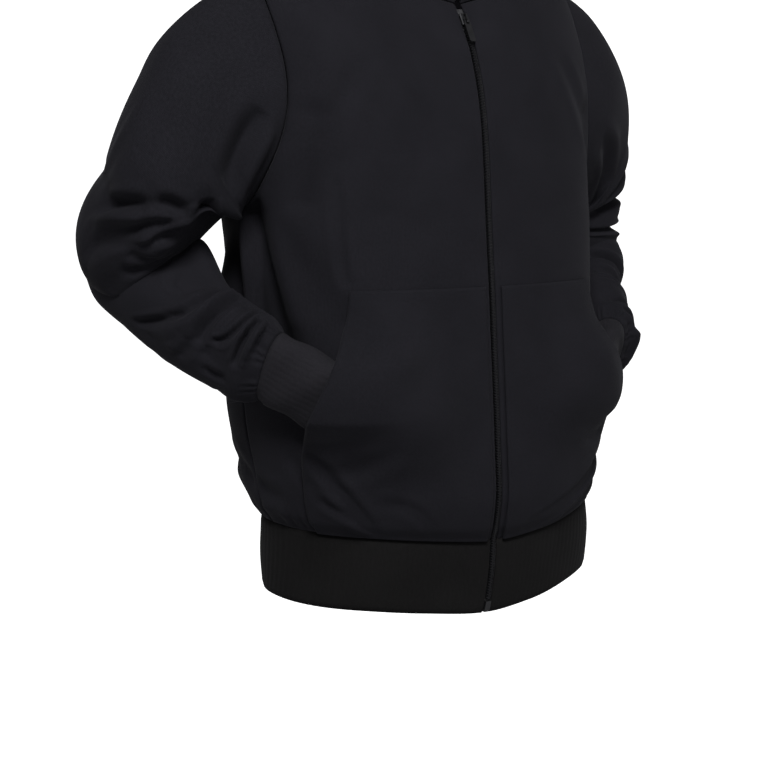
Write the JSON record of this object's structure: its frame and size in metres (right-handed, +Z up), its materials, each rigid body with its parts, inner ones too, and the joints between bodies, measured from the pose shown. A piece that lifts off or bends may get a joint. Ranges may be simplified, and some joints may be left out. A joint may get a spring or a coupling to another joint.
{
  "type": "zip-up hoodie",
  "caption": "Worn zip-up hooded sweatshirt, closed to the neck, hood lying back, both sleeves bent with their cuffs in the front pockets, rib hem band.",
  "frame": {"origin": "On the wearer's middle line between the shoulders, level with the outer shoulder seams' slope, 0.655 m above the hem line, where the shoulders carry the garment.", "axes": "+Z up. -Y is the front, with the zip. +X is the wearer's left."},
  "size_m": [0.6777, 0.3961, 0.76],
  "materials": {
    "fleece": "Soft charcoal-black sweatshirt fleece with a fine knit face, matt.",
    "rib": "Black rib knit with fine upright ribs, matt.",
    "zip_tape": "Black woven zip tape, matt.",
    "dark_metal": "Dark painted metal, half gloss."
  },
  "bodies": {
    "garment": {"back": "fleece", "front_right": "fleece", "front_left": "fleece", "sleeve_right": "fleece", "sleeve_left": "fleece", "pocket_right": "fleece", "pocket_left": "fleece", "hood_right": "fleece", "hood_left": "fleece", "hem_band": "rib", "cuff_right": "rib", "cuff_left": "rib", "zip_tape_right": "zip_tape", "zip_tape_left": "zip_tape", "zip_slider": "dark_metal", "zip_box": "dark_metal"},
    "pull_tab": {"zip_pull_tab": "dark_metal"}
  },
  "joints": [
    {"name": "pull_tab_hinge", "type": "hinge", "parent": "garment", "child": "pull_tab", "pos_m": [0, -0.10745, -0.0572], "axis": [-1, 0, 0], "range_deg": [0, 150]}
  ]
}
